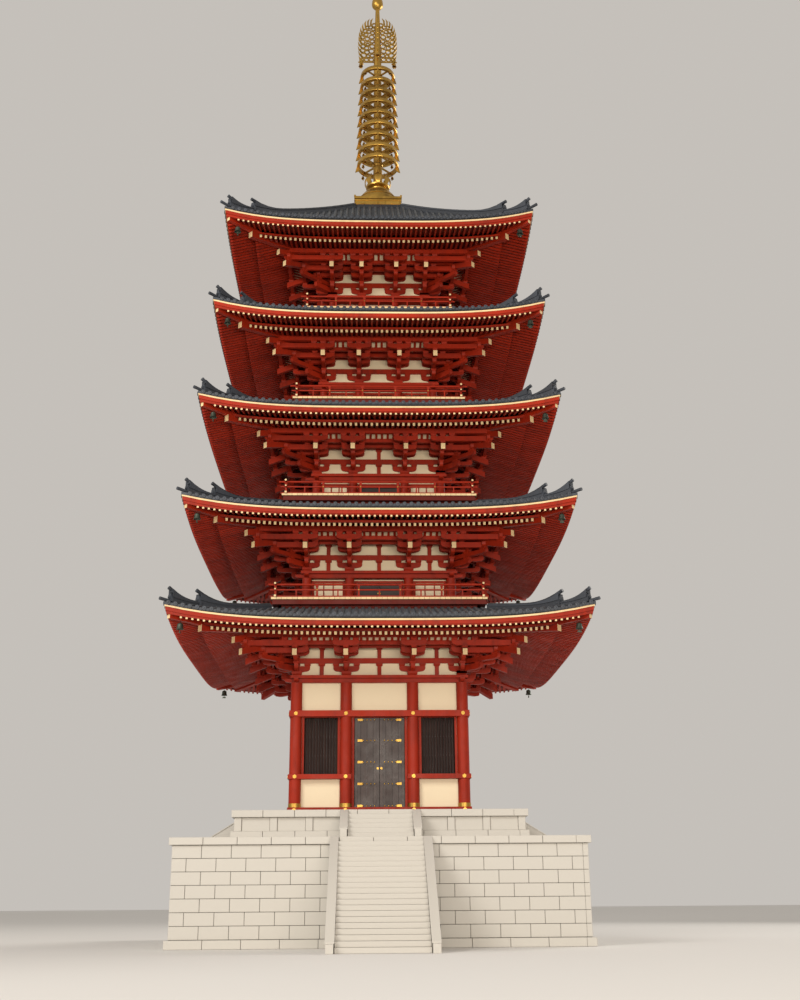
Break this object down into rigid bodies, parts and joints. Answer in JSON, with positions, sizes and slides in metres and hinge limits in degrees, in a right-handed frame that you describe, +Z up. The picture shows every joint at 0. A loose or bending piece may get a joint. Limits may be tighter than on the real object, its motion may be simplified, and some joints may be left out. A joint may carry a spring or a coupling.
{
  "type": "five-storey pagoda, 1:2 scale model",
  "caption": "Square five-storey timber pagoda with upturned tiled roofs, balconies and a ringed finial on a two-tier stone base, at half size.",
  "frame": {"origin": "on the tower's axis, at ground level under the stone base", "axes": "+Z up the tower, -Y towards the front stair, +X to the right seen from the front"},
  "size_m": [9.3072, 14.161, 26.65],
  "materials": {
    "granite": "dressed, matt",
    "vermilion_timber": "painted, satin",
    "plaster": "smooth lime plaster, matt",
    "dark_boards": "painted, satin",
    "roof_tile": "smoked clay, satin",
    "gilded_bronze": "gilded, worn satin"
  },
  "bodies": {
    "root": {"terrace": "granite", "podium": "granite", "terrace_stair_front": "granite", "terrace_stair_back": "granite", "podium_stair_front": "granite", "podium_stair_right": "granite", "podium_stair_back": "granite", "podium_stair_left": "granite", "storey1_frame": "vermilion_timber", "storey1_walls": "plaster", "storey1_shutters": "dark_boards", "storey1_brackets": "vermilion_timber", "roof1_timber": "vermilion_timber", "roof1_tiles": "roof_tile", "storey2_frame": "vermilion_timber", "storey2_walls": "plaster", "storey2_shutters": "dark_boards", "storey2_brackets": "vermilion_timber", "roof2_timber": "vermilion_timber", "roof2_tiles": "roof_tile", "storey3_frame": "vermilion_timber", "storey3_walls": "plaster", "storey3_shutters": "dark_boards", "storey3_brackets": "vermilion_timber", "roof3_timber": "vermilion_timber", "roof3_tiles": "roof_tile", "storey4_frame": "vermilion_timber", "storey4_walls": "plaster", "storey4_shutters": "dark_boards", "storey4_brackets": "vermilion_timber", "roof4_timber": "vermilion_timber", "roof4_tiles": "roof_tile", "storey5_frame": "vermilion_timber", "storey5_walls": "plaster", "storey5_shutters": "dark_boards", "storey5_brackets": "vermilion_timber", "roof5_timber": "vermilion_timber", "roof5_tiles": "roof_tile", "storey1_door_front": "dark_boards", "storey1_door_right": "dark_boards", "storey1_door_back": "dark_boards", "storey1_door_left": "dark_boards", "storey2_balcony": "vermilion_timber", "storey2_railing": "vermilion_timber", "storey3_balcony": "vermilion_timber", "storey3_railing": "vermilion_timber", "storey4_balcony": "vermilion_timber", "storey4_railing": "vermilion_timber", "storey5_balcony": "vermilion_timber", "storey5_railing": "vermilion_timber", "finial_base": "gilded_bronze", "finial_bowl": "gilded_bronze", "finial_lotus": "gilded_bronze", "finial_rings": "gilded_bronze", "finial_flame": "gilded_bronze", "finial_jewel": "gilded_bronze"}
  },
  "joints": []
}
